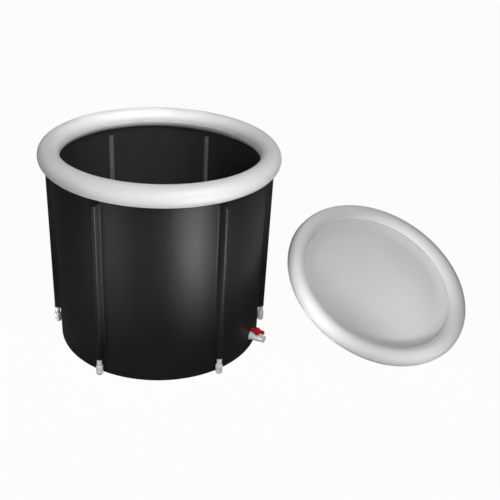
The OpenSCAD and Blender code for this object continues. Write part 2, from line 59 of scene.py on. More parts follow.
# Sizes read from the frame, in metres
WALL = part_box("outer_skin")
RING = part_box("rim_ring")
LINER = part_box("inner_liner")
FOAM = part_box("wall_foam")
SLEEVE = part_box("pole_sleeve_1")
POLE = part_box("support_pole_1")
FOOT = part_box("foot_cap_1")
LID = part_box("lid_ring")
WALL_R = WALL[1].x
FOAM_R = FOAM[1].x
LINER_R = LINER[1].x
RING_TUBE_R = (RING[1].z - RING[0].z) / 2
RING_R = RING[1].x - RING_TUBE_R
RING_Z = (RING[1].z + RING[0].z) / 2
POLE_R = (POLE[1].y - POLE[0].y) / 2
POLE_X = (POLE[1].x + POLE[0].x) / 2
PLUG_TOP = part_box("pole_top_plugs")[1].z
DRAIN = next(j for j in frame["joints"] if j["name"] == "drain_handle_turn")
OUTLET = next(m for m in frame["record"]["mounts"] if m["name"] == "drain_outlet")

# A sleeve's fabric, the half width of its channel where it meets the wall, its half width and its hem
LAYER, MOUTH, MARGIN, HEM = 0.0006, 0.0135, 0.023, 0.009
# Width of an upright weld tape, and half the width of the bead under it
STRIP, SEAM = 0.018, 0.0065
# Play left between a soft piece and what it lies against
CLEAR = 0.0002

# Steps round a fine piece, a plain one and an inflated ring
TURN_FINE, TURN_PLAIN, TURN_RING = 360, 240, 320
# Longest side of a fine piece's outline and of a plain one's
SIDE_FINE, SIDE_PLAIN = 0.012, 0.03
# Points closer than this are one, and an edge that turns by more than this angle is sharp
MERGE = 1e-6
CREASE = math.radians(40)
# A wave texture at a scale of 1 repeats every 2 pi / 20
WAVE_UNIT = 2 * math.pi / 20


def direction(node):
    """The angle about the tub's axis at which a node stands."""
    low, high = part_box(node)
    return math.atan2(low.y + high.y, low.x + high.x)


POLE_ANGLES = [direction(f"support_pole_{k}") for k in range(1, 7)]


def length_prop(label, words, metres):
    """A length for the sidebar, in metres."""
    return bpy.props.FloatProperty(name=label, description=words, default=metres, unit="LENGTH")


class TubSizes(bpy.types.PropertyGroup):
    """Sizes of the soft tub's details."""
    skin: length_prop("Skin", "Thickness of the coated fabric", 0.001)
    liner: length_prop("Liner", "Thickness of the inner liner", 0.0008)
    bulge: length_prop("Bulge", "How far the wall swells between two poles", 0.0012)
    ripple: length_prop("Ripple", "Height of the puckers beside a weld", 0.00035)
    weld: length_prop("Weld", "Height of the weld line on an inflated tube", 0.0009)
    tape: length_prop("Tape", "Thickness of a weld tape", 0.0008)
    bead: length_prop("Bead", "Height of the bead along a taped seam inside", 0.003)


class LidSizes(bpy.types.PropertyGroup):
    """Sizes of the lid's details."""
    tube: length_prop("Tube", "Radius of the lid's inflated tube", 0.034)
    band: length_prop("Band", "Width of the welded band beside the tube", 0.008)
    step: length_prop("Step", "Depth of the step inside the welded band", 0.0022)
    depth: length_prop("Depth", "Depth of the dished panel", 0.012)
    border: length_prop("Border", "Width of the panel's curved border", 0.042)
    foam: length_prop("Foam", "Thickness of the foam in the panel", 0.0026)
    sheet: length_prop("Sheet", "Thickness of each of the panel's sheets", 0.0007)


def srgb(code):
    """Turns an sRGB hex colour to linear red, green, blue and alpha."""
    shares = [int(code[k:k + 2], 16) / 255 for k in (1, 3, 5)]
    linear = [c / 12.92 if c <= 0.04045 else ((c + 0.055) / 1.055) ** 2.4 for c in shares]
    return (*linear, 1.0)


def colour_prop(label, words, code):
    """A colour for the sidebar, given as sRGB hex."""
    return bpy.props.FloatVectorProperty(
        name=label, description=words, subtype="COLOR", size=4, min=0, max=1, default=srgb(code))


class TubColours(bpy.types.PropertyGroup):
    """Colours of the tub's finishes."""
    skin: colour_prop("Skin", "Black coated fabric", "#131314")
    liner: colour_prop("Liner", "Dark liner", "#29292a")
    # The tape's grey is lighter than the liner so that the strips show as the light line along each seam inside:
    # partly a painted highlight, on top of the light that the bead under the tape catches
    tape: colour_prop("Tape", "Grey tape over the seams inside", "#5e5e5f")
    film: colour_prop("Film", "White inflated film", "#ededec")
    panel: colour_prop("Panel", "White sheet of the lid", "#e6e6e5")
    plastic: colour_prop("Plastic", "White rigid plastic", "#eff1f4")
    handle: colour_prop("Handle", "Red moulded handle", "#c80612")


# Shapes: every piece is one or more shells, each a grid of points with quads between neighbours


def shell(points, wrap_u=False, wrap_v=False, uv=None):
    """A grid of points (u, v, xyz) as quads. A wrapped direction joins its last row to its first.

    uv holds metres along the surface, with one more row or column where the grid wraps. The faces are turned
    round when the solid's signed volume comes out negative, so they point outwards.
    """
    nu, nv = points.shape[:2]
    rows, columns = (np.arange(n if wrap else n - 1) for n, wrap in ((nu, wrap_u), (nv, wrap_v)))
    i, j = (side.ravel() for side in np.meshgrid(rows, columns, indexing="ij"))
    corners = [(i, j), (i + 1, j), (i + 1, j + 1), (i, j + 1)]
    faces = np.stack([(a % nu) * nv + b % nv for a, b in corners], 1)
    if uv is None:
        flat_uv = np.zeros((len(faces), 4, 2))
    else:
        flat_uv = np.stack([uv[a, b] for a, b in corners], 1)
    flat = points.reshape(-1, 3)
    a, b, c, d = (flat[faces[:, k]] for k in range(4))
    if (np.cross(a, b) * c).sum() + (np.cross(a, c) * d).sum() < 0:
        faces, flat_uv = faces[:, ::-1], flat_uv[:, ::-1]
    return flat, faces, flat_uv


def build(name, shells, body, slot, nodes):
    """Joins shells into one smooth mesh, closes its poles and seams, and gives it its slot's finish.

    The piece rides on its body and stands in for its nodes.
    """
    starts = np.cumsum([0] + [len(s[0]) for s in shells])
    points = np.concatenate([s[0] for s in shells])
    faces = np.concatenate([s[1] + k for s, k in zip(shells, starts)])
    uv = np.concatenate([s[2] for s in shells])
    mesh = bpy.data.meshes.new(name)
    mesh.vertices.add(len(points))
    mesh.vertices.foreach_set("co", points.astype(np.float32).ravel())
    mesh.loops.add(faces.size)
    mesh.loops.foreach_set("vertex_index", faces.astype(np.int32).ravel())
    mesh.polygons.add(len(faces))
    mesh.polygons.foreach_set("loop_start", np.arange(0, faces.size, 4, dtype=np.int32))
    mesh.uv_layers.new(name="Surface").data.foreach_set("uv", uv.astype(np.float32).ravel())
    mesh.update(calc_edges=True)
    bm = bmesh.new()
    bm.from_mesh(mesh)
    bmesh.ops.remove_doubles(bm, verts=bm.verts, dist=MERGE)
    bmesh.ops.dissolve_degenerate(bm, edges=bm.edges, dist=MERGE)
    for face in bm.faces:
        face.smooth = True
    for edge in bm.edges:
        if len(edge.link_faces) == 2 and edge.calc_face_angle(0) > CREASE:
            edge.smooth = False
    bm.to_mesh(mesh)
    bm.free()
    mesh.materials.append(finishes()[slot])
    made = bpy.data.objects.new(name, mesh)
    bpy.context.scene.collection.objects.link(made)
    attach(made, body)
    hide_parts(*nodes)
    return made


def turns(steps):
    """Angles round a full turn, without the last, which is the first."""
    return np.arange(steps) * (2 * np.pi / steps)


def lengths(path):
    """Running length along a row of points."""
    return np.concatenate([[0], np.cumsum(np.linalg.norm(np.diff(path, axis=0), axis=1))])


def eased(corners, rounds, steps=6, closed=True):
    """An outline with its corners rounded: near each it follows the parabola from one side to the other.

    Each corner gives way over its own round, and never over more than 0.45 of a side.
    """
    most = 0.45
    corners = np.asarray(corners, float)
    rounds = np.broadcast_to(np.asarray(rounds, float), len(corners))
    t = np.linspace(0, 1, steps)[:, None]
    line = []
    for k, (at, r) in enumerate(zip(corners, rounds)):
        if not closed and k in (0, len(corners) - 1) or r == 0:
            line.append(at[None])
            continue
        before, after = corners[k - 1] - at, corners[(k + 1) % len(corners)] - at
        back, ahead = (v * min(r / np.linalg.norm(v), most) for v in (before, after))
        line.append(at + (1 - t) ** 2 * back + t ** 2 * ahead)
    return np.concatenate(line)


def refined(line, step, closed=True):
    """The same outline with points added so that no side is longer than step."""
    ends = np.roll(line, -1, 0) if closed else line[1:]
    starts = line if closed else line[:-1]
    parts = []
    for a, b in zip(starts, ends):
        count = max(1, math.ceil(np.linalg.norm(b - a) / step))
        parts.append(a + (b - a) * (np.arange(count) / count)[:, None])
    if not closed:
        parts.append(line[-1:])
    return np.concatenate(parts)


def frame_at(origin, z_axis, x_axis):
    """A place with the given origin, Z axis and X axis."""
    z = Vector(z_axis).normalized()
    x = Vector(x_axis)
    x = (x - z * x.dot(z)).normalized()
    y = z.cross(x)
    return Matrix.LocRotScale(Vector(origin), Matrix((x, y, z)).transposed().to_quaternion(), None)


def moved(points, place):
    """Points turned and shifted to a place."""
    return points @ np.array(place.to_3x3()).T + np.array(place.translation)


def turned_shell(profile, steps, closed=True, shape=None, place=None):
    """The shell of a profile of (radius, height) carried round the Z axis, moved to a place if one is given.

    A point is (r cos t, r sin t, z), where t is the angle. shape may change the radii and heights by angle.
    A profile that isn't closed starts and ends on the axis, where the turns meet in one point. The uv is the
    way round at the largest radius and the way along the profile.
    """
    t = turns(steps)[:, None]
    r, z = (np.broadcast_to(column, (steps, len(profile))) for column in profile.T)
    if shape:
        r, z = shape(t, r, z)
    points = np.stack([r * np.cos(t), r * np.sin(t), z + 0 * t], -1)
    if place is not None:
        points = moved(points, place)
    loop = np.concatenate([profile, profile[:1]]) if closed else profile
    round_way = np.linspace(0, 2 * np.pi * profile[:, 0].max(), steps + 1)
    uv = np.stack(np.meshgrid(round_way, lengths(loop), indexing="ij"), -1)
    return shell(points, True, closed, uv)


def waves(t, pairs):
    """A sum of sines round a full turn: each pair is a count of waves and a share, with its own fixed lag."""
    lag = 1.7
    return sum(share * np.sin(count * t + lag * count) for count, share in pairs)


# Materials: each starts from what the real one is


def add(tree, kind, sockets=None, **settings):
    """Adds a node, sets its settings and fills its sockets with values or links. Gives back its outputs."""
    made = tree.nodes.new(kind)
    for key, value in settings.items():
        setattr(made, key, value)
    for key, value in (sockets or {}).items():
        if isinstance(value, bpy.types.NodeSocket):
            tree.links.new(value, made.inputs[key])
        else:
            made.inputs[key].default_value = value
    return made.outputs


def new_material(name):
    """An empty material, its tree, and the outputs of its Texture Coordinate node."""
    made = bpy.data.materials.new(name)
    made.use_nodes = True
    tree = made.node_tree
    tree.nodes.clear()
    return made, tree, add(tree, "ShaderNodeTexCoord")


def finish_material(tree, sockets):
    """Ends a tree with its shader and output."""
    shader = add(tree, "ShaderNodeBsdfPrincipled", sockets)
    add(tree, "ShaderNodeOutputMaterial", {"Surface": shader["BSDF"]})


def shaded(colour, share):
    """The same colour, lighter or darker by a share."""
    return (*[min(1.0, c * share) for c in colour[:3]], 1.0)


def coated_fabric(name, colour, rough, level):
    """PVC-coated polyester tarpaulin, calendered: satin, with a soft scrim print and clouds in its gloss."""
    made, tree, at = new_material(name)
    # Handling marks and unevenness are about 60 mm and 9 mm wide
    cloud = add(tree, "ShaderNodeTexNoise", {
        "Vector": at["Object"], "Scale": 1 / 0.06, "Detail": 5.0, "Roughness": 0.6})
    grain = add(tree, "ShaderNodeTexNoise", {"Vector": at["Object"], "Scale": 1 / 0.009, "Detail": 3.0})
    tint = add(tree, "ShaderNodeMix", {
        "Factor": cloud["Fac"], "A": shaded(colour, 0.8), "B": shaded(colour, 1.3)}, data_type="RGBA")
    # The scrim's threads are 1 mm apart; drawn at 2.4 mm so that they show
    thread = WAVE_UNIT / 0.0024
    weft = add(tree, "ShaderNodeTexWave", {
        "Vector": at["UV"], "Scale": thread}, bands_direction="X", wave_profile="SIN")
    warp = add(tree, "ShaderNodeTexWave", {
        "Vector": at["UV"], "Scale": thread}, bands_direction="Y", wave_profile="SIN")
    scrim = add(tree, "ShaderNodeMath", {0: weft["Fac"], 1: warp["Fac"]}, operation="ADD")
    weave = add(tree, "ShaderNodeBump", {"Strength": 0.25, "Distance": 0.00006, "Height": scrim["Value"]})
    skin = add(tree, "ShaderNodeBump", {
        "Strength": 0.35, "Distance": 0.0006, "Height": grain["Fac"], "Normal": weave["Normal"]})
    soft = add(tree, "ShaderNodeMapRange", {
        "Value": cloud["Fac"], "To Min": rough - 0.05, "To Max": rough + 0.07})
    finish_material(tree, {
        "Base Color": tint["Result"], "Roughness": soft["Result"], "Specular IOR Level": level, "IOR": 1.5,
        "Normal": skin["Normal"]})
    return made


def inflated_film(name, colour, rough):
    """White TPU-laminated film, welded and blown up taut: smooth, a little glossy, and faintly cloudy."""
    made, tree, at = new_material(name)
    # The film's own unevenness is about 80 mm wide, its orange peel about 3 mm
    cloud = add(tree, "ShaderNodeTexNoise", {"Vector": at["Object"], "Scale": 1 / 0.08, "Detail": 4.0})
    peel = add(tree, "ShaderNodeTexNoise", {"Vector": at["Object"], "Scale": 1 / 0.003, "Detail": 2.0})
    tint = add(tree, "ShaderNodeMix", {
        "Factor": cloud["Fac"], "A": shaded(colour, 0.96), "B": shaded(colour, 1.02)}, data_type="RGBA")
    bump = add(tree, "ShaderNodeBump", {"Strength": 0.15, "Distance": 0.0002, "Height": peel["Fac"]})
    soft = add(tree, "ShaderNodeMapRange", {
        "Value": cloud["Fac"], "To Min": rough - 0.05, "To Max": rough + 0.05})
    finish_material(tree, {
        "Base Color": tint["Result"], "Roughness": soft["Result"], "IOR": 1.49, "Normal": bump["Normal"]})
    return made


def rigid_plastic(name, colour, rough, coat=0.0):
    """Injection-moulded or extruded plastic: even colour, fine flow marks, rubbed gloss here and there."""
    made, tree, at = new_material(name)
    # Flow marks are about 12 mm long and the tool's grain about 0.8 mm
    flow = add(tree, "ShaderNodeTexNoise", {
        "Vector": at["Object"], "Scale": 1 / 0.012, "Detail": 4.0, "Distortion": 0.4})
    grain = add(tree, "ShaderNodeTexNoise", {"Vector": at["Object"], "Scale": 1 / 0.0008, "Detail": 2.0})
    tint = add(tree, "ShaderNodeMix", {
        "Factor": flow["Fac"], "A": shaded(colour, 0.93), "B": shaded(colour, 1.05)}, data_type="RGBA")
    bump = add(tree, "ShaderNodeBump", {"Strength": 0.2, "Distance": 0.00004, "Height": grain["Fac"]})
    soft = add(tree, "ShaderNodeMapRange", {
        "Value": flow["Fac"], "To Min": rough - 0.06, "To Max": rough + 0.08})
    finish_material(tree, {
        "Base Color": tint["Result"], "Roughness": soft["Result"], "IOR": 1.53, "Coat Weight": coat,
        "Coat Roughness": 0.15, "Normal": bump["Normal"]})
    return made


def foam(name, colour):
    """Closed-cell polyethylene foam, sliced: matt, with small cut cells."""
    made, tree, at = new_material(name)
    # A cut cell is about 1 mm wide
    cells = add(tree, "ShaderNodeTexVoronoi", {"Vector": at["Object"], "Scale": 1 / 0.001})
    tint = add(tree, "ShaderNodeMix", {
        "Factor": cells["Distance"], "A": shaded(colour, 0.8), "B": shaded(colour, 1.1)}, data_type="RGBA")
    bump = add(tree, "ShaderNodeBump", {"Strength": 0.5, "Distance": 0.0003, "Height": cells["Distance"]})
    finish_material(tree, {"Base Color": tint["Result"], "Roughness": 0.9, "Normal": bump["Normal"]})
    return made


def moulded_rubber(name, colour):
    """Moulded EPDM rubber: dark, matt, with bloom in cloudy patches."""
    made, tree, at = new_material(name)
    # Bloom lies in patches about 7 mm wide
    bloom = add(tree, "ShaderNodeTexNoise", {"Vector": at["Object"], "Scale": 1 / 0.007, "Detail": 5.0})
    tint = add(tree, "ShaderNodeMix", {
        "Factor": bloom["Fac"], "A": colour, "B": shaded(colour, 1.8)}, data_type="RGBA")
    soft = add(tree, "ShaderNodeMapRange", {"Value": bloom["Fac"], "To Min": 0.6, "To Max": 0.8})
    finish_material(tree, {"Base Color": tint["Result"], "Roughness": soft["Result"], "IOR": 1.52})
    return made


def plated_steel(name, colour):
    """Zinc-plated steel, turned: grey metal with fine lathe rings and dull spots."""
    made, tree, at = new_material(name)
    # Dull spots are about 2 mm wide, the lathe's rings 0.3 mm apart
    spots = add(tree, "ShaderNodeTexNoise", {"Vector": at["Object"], "Scale": 1 / 0.002, "Detail": 4.0})
    rings = add(tree, "ShaderNodeTexWave", {
        "Vector": at["Object"], "Scale": WAVE_UNIT / 0.0003}, bands_direction="Z")
    bump = add(tree, "ShaderNodeBump", {"Strength": 0.2, "Distance": 0.00002, "Height": rings["Fac"]})
    tint = add(tree, "ShaderNodeMix", {
        "Factor": spots["Fac"], "A": shaded(colour, 0.8), "B": colour}, data_type="RGBA")
    soft = add(tree, "ShaderNodeMapRange", {"Value": spots["Fac"], "To Min": 0.25, "To Max": 0.45})
    finish_material(tree, {
        "Base Color": tint["Result"], "Metallic": 1.0, "Roughness": soft["Result"], "Normal": bump["Normal"]})
    return made


def finishes():
    """The finish of each material slot of the record, made once and found again by name.

    A row gives the material's name, the function that makes it, its colour and the function's other values.
    """
    hues = bpy.context.scene.tub_colours
    kinds = {
        "black_skin": ("Black PVC-coated polyester, calendered", coated_fabric, hues.skin, 0.48, 0.36),
        "liner_skin": ("Dark PVC liner, calendered", coated_fabric, hues.liner, 0.5, 0.4),
        # The weld tape's lighter grey partly stands for the highlight along each inside seam: painted highlight
        "weld_tape": ("Grey PVC weld tape, hot-air welded", coated_fabric, hues.tape, 0.4, 0.5),
        "foam": ("Polyethylene foam, sliced", foam, srgb("#8f9294")),
        "white_film": ("White TPU film, welded", inflated_film, hues.film, 0.42),
        "lid_sheet": ("White PVC sheet, coated", inflated_film, hues.panel, 0.5),
        "white_plastic": ("White PVC-U, moulded", rigid_plastic, hues.plastic, 0.38),
        "red_plastic": ("Red ABS, moulded", rigid_plastic, hues.handle, 0.32, 0.2),
        "seat_plastic": ("White PTFE, turned", rigid_plastic, srgb("#f2f2ee"), 0.45),
        "ball_plastic": ("Grey PVC ball, polished", rigid_plastic, srgb("#c9ccd0"), 0.2, 0.3),
        "rubber": ("Black EPDM rubber, moulded", moulded_rubber, srgb("#1c1c1c")),
        "steel": ("Zinc-plated steel, turned", plated_steel, srgb("#b9bcc0")),
    }
    return {slot: bpy.data.materials.get(name) or make(name, tuple(colour), *looks)
            for slot, (name, make, colour, *looks) in kinds.items()}


# The tub's soft wall


def between_poles(t):
    """0 at a pole and 1 midway between two, as a squared sine of the share of the way."""
    ends = np.sort(np.array(POLE_ANGLES) % (2 * np.pi))
    ends = np.append(ends, ends[0] + 2 * np.pi)
    share = np.interp((t - ends[0]) % (2 * np.pi) + ends[0], ends, np.arange(len(ends)))
    return np.sin(np.pi * share) ** 2


def wall_shape(top, base):
    """Swells the wall between the poles and puckers it beside its upper and lower welds.

    The swell is a squared sine round and a sine up the wall. The puckers are a sum of sines round, which dies
    away over 25 mm from the top and 20 mm from the base.
    """
    sizes = bpy.context.scene.tub_sizes
    top_fade, base_fade, base_share = 0.025, 0.02, 0.6

    def shape(t, r, z):
        up = np.clip((z - base) / (top - base), 0, 1)
        swell = sizes.bulge * between_poles(t) * np.sin(np.pi * up) ** 0.8
        near = np.exp(-(top - z) / top_fade) + base_share * np.exp(-(z - base) / base_fade)
        pucker = sizes.ripple * between_poles(t) * near * waves(t, [(66, 0.6), (97, 0.4), (41, 0.5)])
        return r + (swell + pucker), z

    return shape


def disc(node, lower, upper):
    """Half the section of a round plate that fills a node's box, from the axis out and back, and its radius.

    lower and upper are how far its two edges are rounded.
    """
    low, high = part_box(node)
    corners = [(0, low.z), (high.x, low.z), (high.x, high.z), (0, high.z)]
    return refined(eased(corners, [0, lower, upper, 0], 4, False), SIDE_PLAIN, False), high.x


class TUB_OT_wall(bpy.types.Operator):
    """Makes the soft wall's skins, foams, floor and tapes"""
    bl_idname = "tub.wall"
    bl_label = "Soft wall"

    def execute(self, context):
        sizes = context.scene.tub_sizes
        rim_tape, corner, strips = self.tapes(sizes)
        top, base = WALL[1].z, WALL[0].z
        inside = WALL_R - sizes.skin
        wall = eased([(WALL_R, base), (WALL_R, top), (inside, top), (inside, base)], sizes.skin / 3, 3)
        wall = turned_shell(refined(wall, SIDE_FINE), TURN_FINE, True, wall_shape(top, base))
        outer = build("tub_outer_wall", [wall], "tub", "black_skin", ["outer_skin"])

        low, high = FOAM
        pad = eased([(FOAM_R - CLEAR, low.z), (FOAM_R - CLEAR, high.z), (LINER_R + CLEAR, high.z),
                     (LINER_R + CLEAR, low.z)], 0.0008, 4)
        pad = turned_shell(refined(pad, SIDE_PLAIN), TURN_PLAIN)
        core = build("tub_wall_foam", [pad], "tub", "foam", ["wall_foam"])

        floor, rim = LINER[0].z, LINER[1].z
        inside = LINER_R - sizes.liner
        face = floor + sizes.liner
        cup = eased([(0, floor), (LINER_R, floor), (LINER_R, rim), (inside, rim), (inside, face), (0, face)],
                    [0, 0.0006, 0.0002, 0.0002, 0.004, 0], 5, closed=False)
        cup = refined(cup, SIDE_FINE, closed=False)
        lean_by, fade = 0.0006, 0.02

        def liner_shape(t, r, z):
            """The wall leans out a little between the poles and keeps puckers that die away below its rim."""
            on_wall = r > inside * 0.99
            up = np.clip((z - floor) / (rim - floor), 0, 1)
            lean = -lean_by * between_poles(t) * np.sin(np.pi * up) * on_wall
            pucker = sizes.ripple * np.exp(-(rim - z) / fade) * waves(t, [(58, 0.6), (83, 0.4)])
            return r + (lean + pucker * between_poles(t)) * on_wall, z

        cup = turned_shell(cup, TURN_FINE, False, liner_shape)
        liner = build("tub_liner", [cup], "tub", "liner_skin", ["inner_liner"])

        pad, _ = disc("base_foam", 0.001, 0.001)
        core = build("tub_floor_foam", [turned_shell(pad, TURN_PLAIN, False)], "tub", "foam", ["base_foam"])

        under, reach = disc("base_sheet", 0.0008, 0.0004)
        sheet = build("tub_floor_sheet", [turned_shell(under, TURN_FINE, False)], "tub", "black_skin",
                      ["base_sheet"])
        return {"FINISHED"}

    def tapes(self, sizes):
        """Weld tapes: rings with eased edges, and upright strips that follow the wall's curve."""
        thick, edge = sizes.tape, 0.0003
        low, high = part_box("rim_weld_tape")
        tape = eased([(high.x - thick, low.z), (high.x, low.z), (high.x, high.z), (high.x - thick, high.z)],
                     edge, 3)
        ring = build("rim_weld_band", [turned_shell(tape, TURN_FINE)], "tub", "black_skin", ["rim_weld_tape"])

        low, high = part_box("floor_corner_tape")
        wide, r = high.z - low.z, high.x
        angle = eased([(r, low.z), (r, high.z), (r - thick, high.z), (r - thick, low.z + thick),
                       (r - wide, low.z + thick), (r - wide, low.z)],
                      [0.0004, edge, edge, 0.002, edge, edge], 4)
        corner = build("floor_corner_band", [turned_shell(angle, TURN_PLAIN)], "tub", "liner_skin",
                       ["floor_corner_tape"])

        low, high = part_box("liner_weld_strips")
        r = high.x
        across = np.linspace(-1, 1, 37) * STRIP / 2
        # The raised bead in the middle is the seam's folded edge under the tape
        bead = sizes.bead * np.cos(np.pi / 2 * np.clip(across / SEAM, -1, 1)) ** 2
        up = refined(np.array([[low.z], [high.z]]), 0.02, closed=False)[:, 0]
        shells = []
        for pole in POLE_ANGLES:
            a = across / r + pole
            out = np.concatenate([r - thick + 0 * a, r + 0 * a])
            out[:len(across)] -= bead
            a = np.concatenate([a, a[::-1]])
            points = np.stack([out[:, None] * np.cos(a[:, None]) + 0 * up,
                               out[:, None] * np.sin(a[:, None]) + 0 * up,
                               np.broadcast_to(up, (len(a), len(up)))], -1)
            ends = [points.mean(0)[None, [k]].repeat(len(a), 0) for k in (0, -1)]
            shells.append(shell(np.concatenate([ends[0], points, ends[1]], 1), True, False))
        strips = build("liner_weld_strips_soft", shells, "tub", "weld_tape", ["liner_weld_strips"])
        return ring, corner, strips


# Inflated rings


def tube_angles(seams, steps=72, fine=9, reach=0.06):
    """Angles round a tube's section: even steps, with closer ones within reach on both sides of each seam."""
    extra = [s + np.linspace(-reach, reach, fine) for s in seams]
    return np.unique(np.round(np.concatenate([turns(steps), *extra]) % (2 * np.pi), 6))


def inflated_ring(major, minor, seams, weld, ripple, place):
    """A blown-up ring: (major + b cos v) at turn t, height b sin v, where b is the tube's radius.

    b carries a narrow ridge at each welded seam and, beside it, shallow puckers that die away over 10 mm, and
    a slow unevenness round the ring.
    """
    ridge_wide, pucker_at, slow = 0.0009, 0.006, 0.0002
    t = turns(TURN_RING)[:, None]
    v = tube_angles(seams)[None, :]
    away = [np.abs((v - s + np.pi) % (2 * np.pi) - np.pi) * minor for s in seams]
    ridge = sum(np.exp(-(a / ridge_wide) ** 2) for a in away)
    beside = sum(np.exp(-((a - pucker_at) / pucker_at) ** 2) for a in away)
    b = minor + weld * ridge - ripple * beside * (0.6 + waves(t, [(72, 0.25), (115, 0.2), (37, 0.2)]))
    b = b + slow * waves(t, [(3, 0.6), (7, 0.4)])
    points = np.stack([(major + b * np.cos(v)) * np.cos(t), (major + b * np.cos(v)) * np.sin(t),
                       b * np.sin(v) + 0 * t], -1)
    round_way = np.linspace(0, 2 * np.pi * major, TURN_RING + 1)
    along = np.concatenate([v[0], [2 * np.pi + v[0, 0]]]) * minor
    uv = np.stack(np.meshgrid(round_way, along, indexing="ij"), -1)
    return shell(moved(points, place), True, True, uv)


class TUB_OT_rim(bpy.types.Operator):
    """Makes the inflated rim ring"""
    bl_idname = "tub.rim"
    bl_label = "Rim ring"

    def execute(self, context):
        sizes = context.scene.tub_sizes
        place = Matrix.Translation((0, 0, RING_Z))
        # The two halves of the film are welded along the hole's edge and again where the wall meets them
        hole_side = math.radians(192)
        wall_side = math.asin((WALL_R - RING_R) / RING_TUBE_R) - math.pi / 2
        seams = [hole_side, wall_side % (2 * math.pi)]
        tube = inflated_ring(RING_R, RING_TUBE_R - CLEAR, seams, sizes.weld, sizes.ripple, place)
        made = build("rim_tube", [tube], "tub", "white_film", ["rim_ring"])
        return {"FINISHED"}


# Poles, sleeves and feet


def sleeve_section(steps=18):
    """Half of a sleeve's outer line across, from the middle outwards, as (out from the wall, across).

    It runs round the pole on an arc, leaves it on a tangent to the wall, bends in a hollow and lies flat.
    """
    over_pole = SLEEVE[1].x - POLE_X
    centre = POLE_X - WALL_R
    reach = math.hypot(centre, MOUTH)
    lean = math.atan2(MOUTH, -centre) - math.acos(over_pole / reach)
    arc = np.linspace(0, lean, steps)
    round_pole = np.stack([centre + over_pole * np.cos(arc), over_pole * np.sin(arc)], 1)
    flat = 0.0007
    foot = np.array([[0.0008, MOUTH + 0.0003], [flat, MARGIN - 0.002], [flat, MARGIN]])
    line = np.concatenate([round_pole, foot])
    rounds = np.zeros(len(line))
    rounds[-3] = 0.004
    return eased(line, rounds, 6, closed=False)


class TUB_OT_sleeves(bpy.types.Operator):
    """Makes the six pole sleeves"""
    bl_idname = "tub.sleeves"
    bl_label = "Pole sleeves"

    def execute(self, context):
        half = sleeve_section()
        line = np.concatenate([half[::-1] * [1, -1], half[1:]])
        width = lengths(line)
        low, high = SLEEVE[0].z, SLEEVE[1].z
        # Heights are closer together at the hem and where the channel closes
        z = np.concatenate([low + np.array([0, 0.0004, 0.003, 0.006, 0.0085, 0.0095, 0.012]),
                            np.linspace(low + 0.02, PLUG_TOP - 0.004, 44),
                            np.linspace(PLUG_TOP - 0.003, high, 20)])
        for k in range(len(POLE_ANGLES)):
            made = build(f"sleeve_{k + 1}", [self.sleeve(line, width, z, low, high, k)], "tub", "black_skin",
                         [f"pole_sleeve_{k + 1}"])
        return {"FINISHED"}

    def sleeve(self, line, width, z, low, high, k):
        """The outer line carried up the wall, and a second layer one fabric thickness behind it.

        Above the pole's plug the fabric slopes back to the wall: the channel's depth falls on a half cosine,
        and its sides spread out as it flattens. Between the pole and the wall the flanks sway by under a
        millimetre, on slow sines with their own lag for each sleeve. A thick hem runs round the lower end.
        """
        spread_by, spread_from, sway_by, hem_by = 0.55, 0.05, 0.0005, 0.0005
        t = np.clip((z - PLUG_TOP - LAYER) / (high - PLUG_TOP - 2 * LAYER), 0, 1)[None, :]
        depth = 0.5 + 0.5 * np.cos(np.pi * t ** 0.8)
        out, across = line[:, :1], line[:, 1:]
        rise = np.clip((z - high + spread_from) / spread_from, 0, 1)[None, :]
        across = across * (1 + spread_by * rise ** 2 * (1 - np.abs(across) / MARGIN))
        flank = np.clip(np.minimum(out / 0.006, (0.02 - out) / 0.006), 0, 1)
        sway = sway_by * flank * (np.sin(z * 21 + k * 2.1) + 0.5 * np.sin(z * 57 + k))[None, :]
        hem = hem_by * (np.exp(-((z - low - HEM / 2) / 0.0035) ** 4))[None, :]
        lift = np.where(out > 0.001, out * depth, out) + hem
        side = across + np.sign(across) * (sway + hem * (out > 0.002))
        turn = np.arctan2(side, WALL_R)
        outer = np.stack([(WALL_R + lift) * np.cos(turn), (WALL_R + lift) * np.sin(turn),
                          np.broadcast_to(z, turn.shape)], -1)
        # Inside layer: towards the channel's own middle by the fabric's thickness
        along = np.gradient(outer[..., :2], axis=0)
        normal = np.stack([along[..., 1], -along[..., 0]], -1)
        normal /= np.maximum(np.linalg.norm(normal, axis=-1, keepdims=True), 1e-9)
        inner = outer.copy()
        inner[..., :2] -= normal * LAYER
        loop = np.concatenate([outer, inner[::-1]])
        # Each end closes along the line midway between the two layers
        low_end, high_end = ((loop[:, [c]] + loop[::-1][:, [c]]) / 2 for c in (0, -1))
        grid = np.concatenate([low_end, loop, high_end], 1)
        a = POLE_ANGLES[k]
        spin = np.array([[math.cos(a), -math.sin(a), 0], [math.sin(a), math.cos(a), 0], [0, 0, 1]])
        u = np.concatenate([width, width[::-1], width[:1]])
        v = np.concatenate([z[:1], z, z[-1:]])
        return shell(grid @ spin.T, True, False, np.stack(np.meshgrid(u, v, indexing="ij"), -1))


